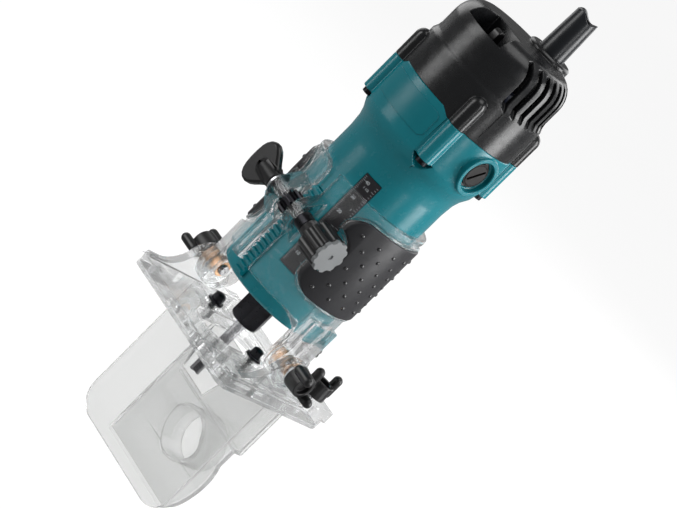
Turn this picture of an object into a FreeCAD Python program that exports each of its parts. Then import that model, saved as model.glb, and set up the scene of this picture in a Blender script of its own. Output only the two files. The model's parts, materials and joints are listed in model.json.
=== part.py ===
import FreeCAD, Part
import math
import os
from FreeCAD import Placement, Rotation, Vector
import Sketcher

# Trim router on a tilting clear base, with a chip nozzle hanging under the sole.
# Millimetres. Z is the spindle axis, pointing up. Z = 0 is the underside of the sole.
# X runs along the tilt axle. The clamp ears, the rack and the switch face -Y.

doc = FreeCAD.newDocument("trim_router")
sheet = doc.addObject("Spreadsheet::Sheet", "dims")
nodes = {}


# ---------------------------------------------------------------- sizes and formulas

class Size:
    """A number kept together with the sheet formula that gives it."""

    def __init__(self, value, text):
        self.value = value
        self.text = text

    def __add__(self, other):
        other = as_size(other)
        return Size(self.value + other.value, f"({self.text} + {other.text})")

    def __sub__(self, other):
        other = as_size(other)
        return Size(self.value - other.value, f"({self.text} - {other.text})")

    def __rsub__(self, other):
        return as_size(other) - self

    def __mul__(self, factor):
        return Size(self.value * factor, f"({self.text} * {factor})")

    def __truediv__(self, factor):
        return Size(self.value / factor, f"({self.text} / {factor})")

    def __neg__(self):
        return Size(-self.value, f"(0 - {self.text})")

    __radd__ = __add__


def as_size(number):
    if isinstance(number, Size):
        return number
    return Size(float(number), f"({float(number)})")


def size(alias, value):
    """Write one driving dimension into the sheet and return it."""
    cell = f"B{size.row}"
    sheet.set(f"A{size.row}", alias)
    sheet.set(cell, str(value))
    sheet.setAlias(cell, alias)
    size.row += 1
    return Size(float(value), f"dims.{alias}")


size.row = 1


def bind(thing, formulas):
    """Bind properties of an object to formulas, by property name."""
    for name, formula in formulas.items():
        thing.setExpression(name, as_size(formula).text)


def place(thing, at):
    formulas = {}
    for letter, formula in zip("xyz", at):
        formulas[f"Placement.Base.{letter}"] = formula
    bind(thing, formulas)


def node(name, thing):
    """Name the object that is written out as one sub-part."""
    thing.Label = name
    nodes[name] = thing
    return thing


# ---------------------------------------------------------------- Part primitives

TURN = {
    "x": Rotation(Vector(0, 1, 0), 90),
    "y": Rotation(Vector(1, 0, 0), -90),
    "z": Rotation(),
}


def cylinder(name, radius, length, at, axis="z"):
    """Round bar that starts at a point and runs along +X, +Y or +Z."""
    bar = doc.addObject("Part::Cylinder", name)
    bar.Placement = Placement(Vector(), TURN[axis])
    bind(bar, {"Radius": radius, "Height": length})
    place(bar, at)
    return bar


def cone(name, start_radius, end_radius, length, at, axis="z"):
    taper = doc.addObject("Part::Cone", name)
    taper.Placement = Placement(Vector(), TURN[axis])
    bind(taper, {"Radius1": start_radius, "Radius2": end_radius, "Height": length})
    place(taper, at)
    return taper


def ball(name, radius, at):
    sphere = doc.addObject("Part::Sphere", name)
    bind(sphere, {"Radius": radius})
    place(sphere, at)
    return sphere


def box(name, low, high):
    """Block between two opposite corners."""
    block = doc.addObject("Part::Box", name)
    sides = ("Length", "Width", "Height")
    for side, start, end in zip(sides, low, high):
        bind(block, {side: as_size(end) - start})
    place(block, low)
    return block


def fuse(name, pieces):
    whole = doc.addObject("Part::MultiFuse", name)
    whole.Shapes = pieces
    whole.Refine = True
    return whole


def common(name, pieces):
    shared = doc.addObject("Part::MultiCommon", name)
    shared.Shapes = pieces
    return shared


def cut(name, base, tools):
    """Take one or more tools away from a base."""
    result = doc.addObject("Part::Cut", name)
    result.Base = base
    if len(tools) > 1:
        result.Tool = fuse(name + "_tools", tools)
    else:
        result.Tool = tools[0]
    result.Refine = True
    return result


def group(name, pieces):
    """Equal loose pieces kept as separate solids in one sub-part."""
    together = doc.addObject("Part::Compound", name)
    together.Links = pieces
    return together


def tube(name, outer, inner, length, at, axis="z"):
    return cut(name, cylinder(name + "_outside", outer, length, at, axis),
               [cylinder(name + "_inside", inner, length, at, axis)])


def ring_sector(name, outer, inner, low, high, middle_deg, spread_deg):
    """Piece of a ring about Z; the angle is counted from -Y towards +X."""
    start = Rotation(Vector(0, 0, 1), middle_deg - 90 - spread_deg / 2)
    bodies = []
    for part, radius in (("_outside", outer), ("_inside", inner)):
        wedge = doc.addObject("Part::Cylinder", name + part)
        wedge.Angle = spread_deg
        wedge.Placement = Placement(Vector(), start)
        bind(wedge, {"Radius": radius, "Height": as_size(high) - low, "Placement.Base.z": low})
        bodies.append(wedge)
    return cut(name, bodies[0], [bodies[1]])


# ---------------------------------------------------------------- PartDesign bodies

def new_body(name):
    return doc.addObject("PartDesign::Body", name)


def new_sketch(body, name, role, height=0):
    sketch = body.newObject("Sketcher::SketchObject", name)
    for feature in body.Origin.OriginFeatures:
        if feature.Role == role:
            sketch.AttachmentSupport = (feature, [""])
    sketch.MapMode = "FlatFace"
    sketch.AttachmentOffset = Placement(Vector(0, 0, as_size(height).value), Rotation())
    if isinstance(height, Size):
        sketch.setExpression("AttachmentOffset.Base.z", height.text)
    return sketch


def draw_outline(sketch, outline):
    """Closed outline of straight lines whose corners are bound to formulas."""
    corners = [(as_size(across), as_size(up)) for across, up in outline]
    count = len(corners)
    first = sketch.GeometryCount
    for index in range(count):
        start = corners[index]
        end = corners[(index + 1) % count]
        sketch.addGeometry(Part.LineSegment(Vector(start[0].value, start[1].value, 0),
                                            Vector(end[0].value, end[1].value, 0)))
    for index in range(count):
        after = first + (index + 1) % count
        sketch.addConstraint(Sketcher.Constraint("Coincident", first + index, 2, after, 1))
    for index, corner in enumerate(corners):
        for kind, axis, formula in (("DistanceX", -2, corner[0]), ("DistanceY", -1, corner[1])):
            if formula.value == 0:
                sketch.addConstraint(Sketcher.Constraint("PointOnObject", first + index, 1, axis))
                continue
            rule = sketch.addConstraint(
                Sketcher.Constraint(kind, -1, 1, first + index, 1, formula.value))
            sketch.setExpression(f"Constraints[{rule}]", formula.text)


def draw_circle(sketch, radius, across=0, up=0):
    radius, across, up = as_size(radius), as_size(across), as_size(up)
    ring = sketch.addGeometry(Part.Circle(Vector(across.value, up.value, 0), Vector(0, 0, 1),
                                          radius.value))
    rule = sketch.addConstraint(Sketcher.Constraint("Radius", ring, radius.value))
    sketch.setExpression(f"Constraints[{rule}]", radius.text)
    for kind, axis, formula in (("DistanceX", -2, across), ("DistanceY", -1, up)):
        if formula.value == 0:
            sketch.addConstraint(Sketcher.Constraint("PointOnObject", ring, 3, axis))
            continue
        rule = sketch.addConstraint(Sketcher.Constraint(kind, -1, 1, ring, 3, formula.value))
        sketch.setExpression(f"Constraints[{rule}]", formula.text)


def turned(name, outline, base=0):
    """Body turned about Z from an outline of (radius, height above its base)."""
    body = new_body(name)
    sketch = new_sketch(body, name + "_profile", "XZ_Plane")
    draw_outline(sketch, outline)
    spin = body.newObject("PartDesign::Revolution", name + "_turn")
    spin.Profile = sketch
    spin.ReferenceAxis = (sketch, ["V_Axis"])
    spin.Angle = 360
    place(body, (0, 0, base))
    return body


def padded(name, role, outline, length, height=0, midplane=False):
    """Body padded from a straight-sided outline on one of its origin planes."""
    body = new_body(name)
    sketch = new_sketch(body, name + "_outline", role, height)
    draw_outline(sketch, outline)
    pad = body.newObject("PartDesign::Pad", name + "_pad")
    pad.Profile = sketch
    pad.Midplane = midplane
    bind(pad, {"Length": length})
    return body


def round_edges(name, body, radius, wanted):
    """Fillet the body's edges for which wanted(edge) is true."""
    doc.recompute()
    tip = body.Tip
    edges = []
    for index, edge in enumerate(tip.Shape.Edges):
        if wanted(edge):
            edges.append(f"Edge{index + 1}")
    fillet = body.newObject("PartDesign::Fillet", name)
    fillet.Base = (tip, edges)
    bind(fillet, {"Radius": radius})
    return body


def upright(edge):
    """True for a straight edge that runs along Z."""
    if not isinstance(edge.Curve, Part.Line):
        return False
    return abs(abs(edge.Curve.Direction.z) - 1) < 1e-6


def polar(body, feature, sketch, count, name):
    pattern = body.newObject("PartDesign::PolarPattern", name)
    pattern.Originals = [feature]
    pattern.Axis = (sketch, ["N_Axis"])
    pattern.Angle = 360
    pattern.Occurrences = count
    body.Tip = pattern
    return pattern


def slotted_disc(name, radius, length, notches, notch_radius, notch_circle):
    """Disc about Z with round notches around its rim: a fluted knob."""
    body = new_body(name)
    disc = new_sketch(body, name + "_disc", "XY_Plane")
    draw_circle(disc, radius)
    pad = body.newObject("PartDesign::Pad", name + "_pad")
    pad.Profile = disc
    bind(pad, {"Length": length})
    doc.recompute()
    notch = new_sketch(body, name + "_notch", "XY_Plane")
    draw_circle(notch, notch_radius, notch_circle)
    pocket = body.newObject("PartDesign::Pocket", name + "_flute")
    pocket.Profile = notch
    pocket.Type = "ThroughAll"
    pocket.Midplane = True
    doc.recompute()
    polar(body, pocket, notch, notches, name + "_flutes")
    return body


# ---------------------------------------------------------------- driving dimensions

# Clear base and motor barrel
barrel_radius = size("barrel_radius", 32.5)
barrel_inside = size("barrel_inside", 30.2)
base_bore = size("base_bore", 32.58)
base_radius = size("base_radius", 36)
base_foot = size("base_foot", 26)
base_rim = size("base_rim", 113)
window_top = size("window_top", 45)
clamp_slot = size("clamp_slot", 3.75)
tilt_height = size("tilt_height", 22.7)
leg_face = size("leg_face", 40.6)

# Sole and tilt plate
plate_left = size("plate_left", -46)
plate_right = size("plate_right", 49)
plate_front = size("plate_front", -43)
plate_back = size("plate_back", 46)
sole_thick = size("sole_thick", 2)
plate_top = size("plate_top", 7.2)
ear_inside = size("ear_inside", 41)
ear_outside = size("ear_outside", 46)

# Height drive: rack on the barrel, pinion across the clamp ears
gear_module = size("gear_module", 1)
pinion_offset = size("pinion_offset", 41.3)
pinion_height = size("pinion_height", 85)
pitch_radius = size("pitch_radius", 6)
rack_half_width = size("rack_half_width", 3)
shaft_radius = size("shaft_radius", 3)

# Motor housing, cover and cord
barrel_foot = size("barrel_foot", 36.5)
seam_height = size("seam_height", 172)
housing_radius = size("housing_radius", 38)
boss_circle = size("boss_circle", 37.8)
boss_radius = size("boss_radius", 4.8)
boss_foot = size("boss_foot", 149)
cover_top = size("cover_top", 221.2)
brush_height = size("brush_height", 159)
cord_offset = size("cord_offset", 23)

# Spindle
spindle_radius = size("spindle_radius", 6)
bit_radius = size("bit_radius", 3)
bit_tip = size("bit_tip", -21)
nut_foot = size("nut_foot", 16)
nut_top = size("nut_top", 34)
armature_radius = size("armature_radius", 17.5)

# Chip nozzle
sheet_half_width = size("sheet_half_width", 44.5)
sheet_front = size("sheet_front", 4.2)
sheet_foot = size("sheet_foot", -86)
wall = size("wall", 1.8)
port_radius = size("port_radius", 15.6)

# Fasteners
bolt_radius = size("bolt_radius", 2.9)
screw_radius = size("screw_radius", 2)

DIAGONAL = math.sqrt(0.5)
CORNERS = [(1, -1), (1, 1), (-1, 1), (-1, -1)]


# ---------------------------------------------------------------- tilt plate and sole

def rounded_slab(name, low, high, radius):
    slab = padded(name, "XY_Plane", [(plate_left, plate_front), (plate_right, plate_front),
                                     (plate_right, plate_back), (plate_left, plate_back)],
                  as_size(high) - low, low)
    return round_edges(name + "_corners", slab, radius, upright)


def slot_hole(name, half_width, half_length, low, high):
    """Upright hole, long in Y, with round ends."""
    straight = half_length - half_width
    return fuse(name, [
        box(name + "_middle", (-half_width, -straight, low), (half_width, straight, high)),
        cylinder(name + "_front", half_width, as_size(high) - low, (0, -straight, low)),
        cylinder(name + "_back", half_width, as_size(high) - low, (0, straight, low)),
    ])


def tilt_ear(name, inner, outer, sign):
    """Bell-shaped upright ear, made from a square blank trimmed by round tools."""
    crown_radius, crown_centre, flank_radius, flank_centre, flange = 15.7, 14, 17.6, 31, 1.4
    low, high = (inner, outer) if sign > 0 else (-outer, -inner)
    thickness = outer - inner
    foot = box(name + "_foot", (low, plate_front + 3, plate_top - 1),
               (high, plate_back - 6, plate_top + flange))
    crown = cylinder(name + "_crown", crown_radius, thickness, (low, 0, crown_centre), "x")
    web = box(name + "_web", (low, -flank_centre, plate_top), (high, flank_centre, 20))
    scoops = []
    for side in (-1, 1):
        at = (low, side * flank_centre, plate_top + flange + flank_radius)
        scoops.append(cylinder(f"{name}_scoop{side + 1}", flank_radius, thickness, at, "x"))
    ceiling = box(name + "_ceiling", (low, -40, 19.9), (high, 40, 40))
    skirt = cut(name + "_skirt", web, scoops + [ceiling])
    return fuse(name, [foot, crown, skirt])


def make_base_plate():
    slab = rounded_slab("plate_slab", sole_thick, plate_top, 5)
    ears = [tilt_ear("ear_right", ear_inside, ear_outside, 1),
            tilt_ear("ear_left", ear_inside, ear_outside, -1)]
    guide_block = box("guide_block", (30, 27, plate_top - 1), (plate_right, plate_back, 13))
    lug = box("rear_lug", (-9, 45, sole_thick), (9, 49, 22))
    lug_crown = cylinder("rear_lug_crown", 9, 4, (0, 45, 22), "y")
    bosses = [cylinder(f"nozzle_boss{side}", 5.2, 3.3, (side * 21.2, -1, plate_top - 1))
              for side in (-1, 1)]
    solid = fuse("plate_solid", [slab] + ears + [guide_block, lug, lug_crown] + bosses)
    holes = [slot_hole("plate_window", 15, 26, 0, 20)]
    # The ears are round at the bottom too, so what reaches below the slab is taken off.
    holes.append(box("below_slab", (-60, -60, -10), (60, 60, sole_thick)))
    holes.append(cylinder("tilt_hole", bolt_radius + 0.06, 110, (-55, 0, tilt_height), "x"))
    holes.append(cylinder("guide_hole", bolt_radius + 0.06, 12, (37.5, 35.5, 4.5)))
    # Shallow notches for a guide bar in the middle of the front and left edges.
    holes.append(box("front_notch", (-11.4, plate_front - 1, 1), (12.8, plate_front + 3, 5.2)))
    holes.append(box("left_notch", (plate_left - 1, -7.5, 1), (plate_left + 3, 8.5, 5.2)))
    holes.append(cylinder("lug_hole", 2.56, 6, (0, 44, 22), "y"))
    for side in (-1, 1):
        holes.append(cylinder(f"nozzle_hole{side}", screw_radius + 0.05, 12, (side * 21.2, -1, 0)))
    for index, (across, along) in enumerate(SOLE_SCREWS):
        holes.append(cylinder(f"sole_thread{index}", 1.75, 4, (across, along, sole_thick)))
    node("base_plate", cut("base_plate", solid, holes))


SOLE_SCREWS = [(-36, -36), (36, -36), (-36, 38), (22, 38)]


def make_sole_plate():
    slab = rounded_slab("sole_slab", 0, sole_thick, 5)
    window = slot_hole("sole_window", 15, 26, -1, 5)
    # The nozzle's flange, sheet and hood all pass through the sole to the plate above.
    flange_seat = box("flange_seat", (-31.2, -7.2, -1), (31.2, 20.2, 5))
    sheet_seat = box("sheet_seat", (-44.7, sheet_front - 0.2, -1), (-30, sheet_front + 2.2, 5))
    hood_seat = box("hood_seat", (30, sheet_front - 0.2, -1), (44.7, 21.2, 5))
    holes = [window, flange_seat, sheet_seat, hood_seat]
    for index, (across, along) in enumerate(SOLE_SCREWS):
        holes.append(cone(f"sole_sink{index}", 3.5, 1.75, 1.8, (across, along, 0)))
        holes.append(cylinder(f"sole_hole{index}", 1.75, 3, (across, along, 0)))
    node("sole_plate", cut("sole_plate", slab, holes))


def make_sole_screws():
    screws = []
    for index, (across, along) in enumerate(SOLE_SCREWS):
        head = cone(f"sole_head{index}", 3.3, 1.65, 1.65, (across, along, 0.1))
        shank = cylinder(f"sole_shank{index}", 1.7, 4.6, (across, along, 1))
        drive = box(f"sole_drive{index}", (across - 2, along - 0.35, 0), (across + 2, along + 0.35, 0.7))
        screws.append(cut(f"sole_screw{index}", fuse(f"sole_rod{index}", [head, shank]), [drive]))
    node("sole_screws", group("sole_screws", screws))


def make_nozzle_screws():
    screws = []
    for side in (-1, 1):
        across = side * 21.2
        flange = cylinder(f"nozzle_flange{side}", 4.7, 1.3, (across, -1, 9.5))
        head = cylinder(f"nozzle_head{side}", 3.4, 3.2, (across, -1, 10.6))
        dome = common(f"nozzle_dome{side}", [
            ball(f"nozzle_ball{side}", 5.2, (across, -1, 10.6)),
            cylinder(f"nozzle_top{side}", 3.4, 5.4, (across, -1, 10.6))])
        shank = cylinder(f"nozzle_shank{side}", screw_radius, 10, (across, -1, 0.2))
        screws.append(fuse(f"nozzle_screw{side}", [flange, head, dome, shank]))
    node("nozzle_screws", group("nozzle_screws", screws))


# ---------------------------------------------------------------- chip nozzle

def make_dust_nozzle():
    back = sheet_front + 2
    hood_left, hood_right = -18, sheet_half_width
    drum_radius, drum_along, drum_height = 28.5, -10, -57
    flange = box("nozzle_seat", (-31, -7, 0), (31, 20, sole_thick))
    screen = padded("nozzle_sheet", "XZ_Plane",
                    [(-sheet_half_width, sheet_foot), (sheet_half_width, sheet_foot),
                     (sheet_half_width, sole_thick), (-sheet_half_width, sole_thick)], 2, -back)
    screen = round_edges("nozzle_corners", screen, 14, lambda edge: (
        edge.BoundBox.ZMax < sheet_foot.value + 1 and edge.BoundBox.YLength > 1))

    def hood(name, inset):
        """Outside (inset 0) or inside (inset one wall) of the hood behind the sheet."""
        inside = as_size(inset)
        front = sheet_front if inset == 0 else back
        ceiling = sole_thick if inset == 0 else 0
        left, right = hood_left + inside, hood_right - inside
        neck = box(name + "_neck", (left, front, inside - 33), (right, 20 - inside, ceiling))
        shelf = box(name + "_shelf", (left, front, -46), (right, 15 - inside, -31))
        drum = cylinder(name + "_drum", drum_radius - inside, right - left,
                        (left, drum_along, drum_height), "x")
        behind = box(name + "_behind", (hood_left, front, -84), (hood_right, 40, -40))
        return fuse(name, [neck, shelf, common(name + "_bowl", [drum, behind])])

    port = cylinder("port_outside", port_radius, 28, (12, 6.5, -50.5), "y")
    tab = box("nozzle_tab", (sheet_half_width - wall, sheet_front, -32.6),
              (sheet_half_width, 21, sole_thick))
    outline = padded("nozzle_outline", "XZ_Plane",
                     [(-sheet_half_width, sheet_foot), (sheet_half_width, sheet_foot),
                      (sheet_half_width, 3), (-sheet_half_width, 3)], 50, -50)
    outline = round_edges("outline_corners", outline, 14, lambda edge: (
        edge.BoundBox.ZMax < sheet_foot.value + 1 and edge.BoundBox.YLength > 1))
    trimmed = common("hood_trimmed", [hood("hood_outside", 0), outline])
    solid = fuse("nozzle_solid", [flange, screen, trimmed, port, tab])
    mouth = padded("nozzle_mouth", "XZ_Plane",
                   [(-16, 3), (-16, -8), (-11, -26.7), (11, -26.7), (16, -8), (16, 3)],
                   as_size(9) + back, -(as_size(1) + back))
    holes = [
        hood("hood_inside", wall),
        cylinder("port_inside", port_radius - wall, 30, (12, back.value, -50.5), "y"),
        mouth,
        slot_hole("nozzle_window", 15, 26, -0.5, 5),
    ]
    for side in (-1, 1):
        holes.append(cylinder(f"flange_hole{side}", screw_radius + 0.05, 4, (side * 21.2, -1, -1)))
    node("dust_nozzle", cut("dust_nozzle", solid, holes))


# ---------------------------------------------------------------- wing bolts and knobs on the plate

def wing_bolt(name, turn, at, shank_length, lean_deg):
    """Bolt with a cupped round hub and two domed wings, built along +Z and then turned.

    The hub starts at the given point; lean_deg turns the wings about the bolt's own axis.
    """
    hub_radius, hub_length, wing_radius, wing_circle, wing_reach = 7, 9, 2.7, 8.3, 12.3
    hub = cone(name + "_hub", hub_radius, hub_radius - 0.5, hub_length, (0, 0, 0))
    shank = cylinder(name + "_shank", bolt_radius, as_size(shank_length) + 1, (0, 0, -as_size(shank_length)))
    pieces = [hub, shank]
    for side in (-1, 1):
        across = side * wing_circle
        pieces.append(cylinder(f"{name}_wing{side + 1}", wing_radius, wing_reach - 3.5, (across, 0, 3.5)))
        pieces.append(ball(f"{name}_dome{side + 1}", wing_radius, (across, 0, wing_reach)))
        pieces.append(ball(f"{name}_root{side + 1}", wing_radius, (across, 0, 3.5)))
        pieces.append(box(f"{name}_web{side + 1}", (min(0, across), -1.7, 3.5), (max(0, across), 1.7, 8.6)))
    cup = cylinder(name + "_cup", 4.4, 4, (0, 0, hub_length - 2.6))
    bolt = cut(name, fuse(name + "_solid", pieces), [cup])
    bolt.Placement = Placement(Vector(), turn * Rotation(Vector(0, 0, 1), lean_deg))
    place(bolt, at)
    node(name, bolt)


def make_rear_thumb_screw():
    head = slotted_disc("thumb_head", 9.3, 5.6, 18, 0.9, 9.6)
    head.Placement = Placement(Vector(), TURN["y"])
    place(head, (0, 50.6, 22))
    collar = cylinder("thumb_collar", 5, 1.5, (0, 49.2, 22), "y")
    shank = cylinder("thumb_shank", 2.5, 8, (0, 43.4, 22), "y")
    node("rear_thumb_screw", fuse("rear_thumb_screw", [head, collar, shank]))


def make_wing_bolts():
    gap = 1.3
    wing_bolt("guide_clamp_bolt", TURN["z"], (37.5, 35.5, 13.4), 8.2, 90)
    wing_bolt("tilt_bolt_right", TURN["x"], (ear_outside + gap, 0, tilt_height), 16.1, 50)
    wing_bolt("tilt_bolt_left", Rotation(Vector(0, 1, 0), -90), (-ear_outside - gap, 0, tilt_height),
              16.1, 58)


def make_tilt_washers():
    left = tube("washer_left", 6.2, bolt_radius + 0.1, 1, (-ear_outside - 1, 0, tilt_height), "x")
    right = tube("washer_right", 6.2, bolt_radius + 0.1, 1, (ear_outside, 0, tilt_height), "x")
    node("tilt_washers", group("tilt_washers", [left, right]))


# ---------------------------------------------------------------- clear base body

def clamp_lug(name, low, high):
    """Clamp ear beside the slot, cut to a blunt nose over the pinion."""
    profile = [(-31, 69.4), (-37, 70.4), (-46, 78.9), (-47.5, 85), (-46, 90.9), (-37, 97.4), (-31, 98.4)]
    return padded(name, "YZ_Plane", profile, high - low, low)


def make_base_body():
    shell = cylinder("base_shell", base_radius, base_rim - base_foot, (0, 0, base_foot))
    bead = cylinder("base_bead", base_radius + 0.6, 2.5, (0, 0, base_rim - 2.5))
    right_lug = clamp_lug("lug_right", clamp_slot.value, 11.2)
    left_lug = clamp_lug("lug_left", -14.5, -clamp_slot.value)
    column = box("slot_column", (-10.6, -38.4, window_top), (-clamp_slot, -30, 75))
    legs = []
    for side in (-1, 1):
        low = 28 if side > 0 else -leg_face
        high = leg_face if side > 0 else -28
        stem = box(f"leg_stem{side + 1}", (low, -10, tilt_height), (high, 10, 50))
        foot = cylinder(f"leg_foot{side + 1}", 12.5, as_size(high) - low, (low, 0, tilt_height), "x")
        legs += [stem, foot]
    solid = fuse("base_solid", [shell, bead, right_lug, left_lug, column] + legs)
    bore = cylinder("base_bore_tool", base_bore, 140, (0, 0, 0))
    slot = box("slot_tool", (-clamp_slot, -60, 0), (clamp_slot, -20, 140))
    front = box("window_front", (-34.2, -40, 0), (34.2, -10.5, window_top - 9))
    arch_middle = box("window_middle", (-25, -40, 0), (25, -10.5, window_top))
    arch_right = cylinder("window_right", 9, 30, (25, -40, window_top - 9), "y")
    arch_left = cylinder("window_left", 9, 30, (-25, -40, window_top - 9), "y")
    holes = [bore, slot, front, arch_middle, arch_right, arch_left]
    holes.append(cylinder("pinion_bore", shaft_radius + 0.06, 40,
                          (-20, -pinion_offset, pinion_height), "x"))
    holes.append(cylinder("insert_bore", 5, 100, (-50, 0, tilt_height), "x"))
    # The slot's left side is rounded off at the rim.
    corner = 7
    left = -clamp_slot
    holes.append(cut("rim_corner", box("rim_block", (left - corner, -60, base_rim - corner),
                                       (left + 1, -20, base_rim + 1)),
                     [cylinder("rim_round", corner, 60, (left - corner, -70, base_rim - corner), "y")]))
    # Upright pocket with round ends in the front of the column.
    holes.append(box("pocket_middle", (-9.4, -40, 51), (-5.4, -37.2, 65)))
    holes.append(cylinder("pocket_low", 2, 3, (-7.4, -40.2, 51), "y"))
    holes.append(cylinder("pocket_high", 2, 3, (-7.4, -40.2, 65), "y"))
    node("base_body", cut("base_body", solid, holes))


def make_pivot_inserts():
    inserts = []
    for side in (-1, 1):
        start = -leg_face if side < 0 else as_size(33)
        inserts.append(tube(f"insert{side + 1}", 5, bolt_radius + 0.05, leg_face - 33,
                            (start, 0, tilt_height), "x"))
    node("pivot_inserts", group("pivot_inserts", inserts))


def make_grip(name, side):
    """Rubber pad wrapped on the base, notched beside the height knob."""
    half_width, low, high, notch_radius, corner = 28.2, 57, 107, 11, 9
    skin = tube(name + "_skin", base_radius + 2, base_radius + 0.05, high - low, (0, 0, low))
    pad = padded(name + "_field", "YZ_Plane", [(-half_width, low), (half_width, low),
                                               (half_width, high), (-half_width, high)],
                 30, 14 if side > 0 else -44)
    pad = round_edges(name + "_corners", pad, corner,
                      lambda edge: edge.BoundBox.XLength > 10)
    notch = cylinder(name + "_notch", notch_radius, 60,
                     (10 if side > 0 else -70, -half_width - 4, pinion_height), "x")
    node(name, common(name, [skin, cut(name + "_shape", pad, [notch])]))


# ---------------------------------------------------------------- height drive and clamp

def involute_gear(name, teeth, length):
    """Spur gear about Z with 20 degree involute flanks and a little backlash."""
    module = gear_module.value
    pitch = pitch_radius.value
    pressure = math.radians(20)
    base = pitch * math.cos(pressure)
    tip = pitch + 0.85 * module
    root = pitch - 1.0 * module
    backlash = 0.10
    half_at_pitch = (math.pi * module / 2 - backlash) / 2 / pitch
    involute_at_pitch = math.tan(pressure) - pressure
    flank = []
    steps = 5
    for step in range(steps + 1):
        radius = base + (tip - base) * step / steps
        lean = math.acos(base / radius)
        flank.append((radius, half_at_pitch + involute_at_pitch - (math.tan(lean) - lean)))
    flank.insert(0, (root, flank[0][1]))
    points = []
    for tooth in range(teeth):
        middle = 2 * math.pi * tooth / teeth
        for radius, half in flank:
            points.append(Vector(radius * math.cos(middle - half), radius * math.sin(middle - half), 0))
        for radius, half in reversed(flank):
            points.append(Vector(radius * math.cos(middle + half), radius * math.sin(middle + half), 0))
    points.append(points[0])
    gear = doc.addObject("Part::Feature", name)
    gear.Shape = Part.Face(Part.makePolygon(points)).extrude(Vector(0, 0, length))
    return gear


def make_pinion_shaft():
    teeth = 12
    gear = involute_gear("pinion_teeth", teeth, 6.8)
    # A tooth gap faces the rack: half a tooth pitch away from +Y.
    facing = Rotation(Vector(0, 0, 1), 90 + 180 / teeth)
    gear.Placement = Placement(Vector(-3.4, -pinion_offset.value, pinion_height.value),
                               TURN["x"] * facing)
    shaft = cylinder("pinion_bar", shaft_radius, 50, (-28, -pinion_offset, pinion_height), "x")
    collar = cylinder("pinion_collar", 5, 6, (11.5, -pinion_offset, pinion_height), "x")
    node("pinion_shaft", fuse("pinion_shaft", [gear, shaft, collar]))


def make_gear_rack():
    first_tooth = pinion_height - gear_module * (14 * math.pi)
    count = 19
    pitch = gear_module * math.pi
    pitch_line = -pinion_offset + pitch_radius
    root = pitch_line + gear_module * 1.05
    tip = pitch_line - gear_module * 0.65
    # Half widths of a 20 degree tooth at its root and tip, thinned for backlash.
    middle_half = math.pi / 4 - 0.05
    root_half = gear_module * (middle_half + 1.05 * math.tan(math.radians(20)))
    tip_half = gear_module * (middle_half - 0.65 * math.tan(math.radians(20)))
    rack_foot = first_tooth - 1.7
    rack_top = first_tooth + pitch * (count - 1) + 1.7
    back = root + 2.4
    body = padded("gear_rack", "YZ_Plane", [(root, rack_foot), (back, rack_foot), (back, rack_top),
                                            (root, rack_top)], rack_half_width * 2, 0, True)
    doc.recompute()
    sketch = new_sketch(body, "rack_tooth_outline", "YZ_Plane")
    draw_outline(sketch, [(root + 0.3, first_tooth - root_half), (root + 0.3, first_tooth + root_half),
                          (root, first_tooth + root_half), (tip, first_tooth + tip_half),
                          (tip, first_tooth - tip_half), (root, first_tooth - root_half)])
    tooth = body.newObject("PartDesign::Pad", "rack_tooth")
    tooth.Profile = sketch
    tooth.Midplane = True
    bind(tooth, {"Length": rack_half_width * 2})
    doc.recompute()
    row = body.newObject("PartDesign::LinearPattern", "rack_teeth")
    row.Originals = [tooth]
    row.Direction = (sketch, ["V_Axis"])
    row.Occurrences = count
    bind(row, {"Length": pitch * (count - 1)})
    body.Tip = row
    node("gear_rack", body)


def make_depth_knob():
    knob = slotted_disc("knob_grip", 9.8, 13.7, 10, 2.2, 11)
    knob.Placement = Placement(Vector(), TURN["x"])
    place(knob, (24.3, -pinion_offset, pinion_height))
    collar = cone("knob_collar", 5.2, 6.6, 6.7, (17.8, -pinion_offset, pinion_height), "x")
    bore = cylinder("knob_bore", shaft_radius, 4.3, (17.7, -pinion_offset, pinion_height), "x")
    node("depth_knob", cut("depth_knob", fuse("knob_solid", [knob, collar]), [bore]))
    cap = slotted_disc("knob_face", 9.8, 2.2, 10, 2.2, 11)
    cap.Placement = Placement(Vector(), TURN["x"])
    place(cap, (38, -pinion_offset, pinion_height))
    dimple = cylinder("knob_dimple", 1.4, 1, (39.4, -pinion_offset, pinion_height), "x")
    node("knob_cap", cut("knob_cap", cap, [dimple]))


def make_clamp_wing_nut():
    """Fan-shaped wing nut on the free end of the pinion shaft."""
    centre = pinion_height.value
    edge = [(-15.8, 4.4), (-18.4, 4.7), (-21, 5.8), (-23.6, 7.9), (-26, 10.2), (-28.4, 12),
            (-31, 12.9), (-33.6, 12.7), (-35.8, 11.4), (-37.4, 9.2), (-38.3, 6.2), (-38.7, 2.2)]
    profile = [(across, centre + half) for across, half in edge]
    profile += [(across, centre - half) for across, half in reversed(edge)]
    blade = padded("clamp_blade", "XZ_Plane", profile, 5, pinion_offset, True)
    hub = cone("clamp_hub", 3.8, 5.6, 15.2, (-31, -pinion_offset, pinion_height), "x")
    bore = cylinder("clamp_bore", shaft_radius + 0.06, 16, (-29, -pinion_offset, pinion_height), "x")
    node("clamp_wing_nut", cut("clamp_wing_nut", fuse("clamp_solid", [blade, hub]), [bore]))


def make_clamp_washer():
    node("clamp_washer", tube("clamp_washer", 6.2, shaft_radius + 0.1, 1,
                              (-15.5, -pinion_offset, pinion_height), "x"))


# ---------------------------------------------------------------- motor housing

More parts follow.
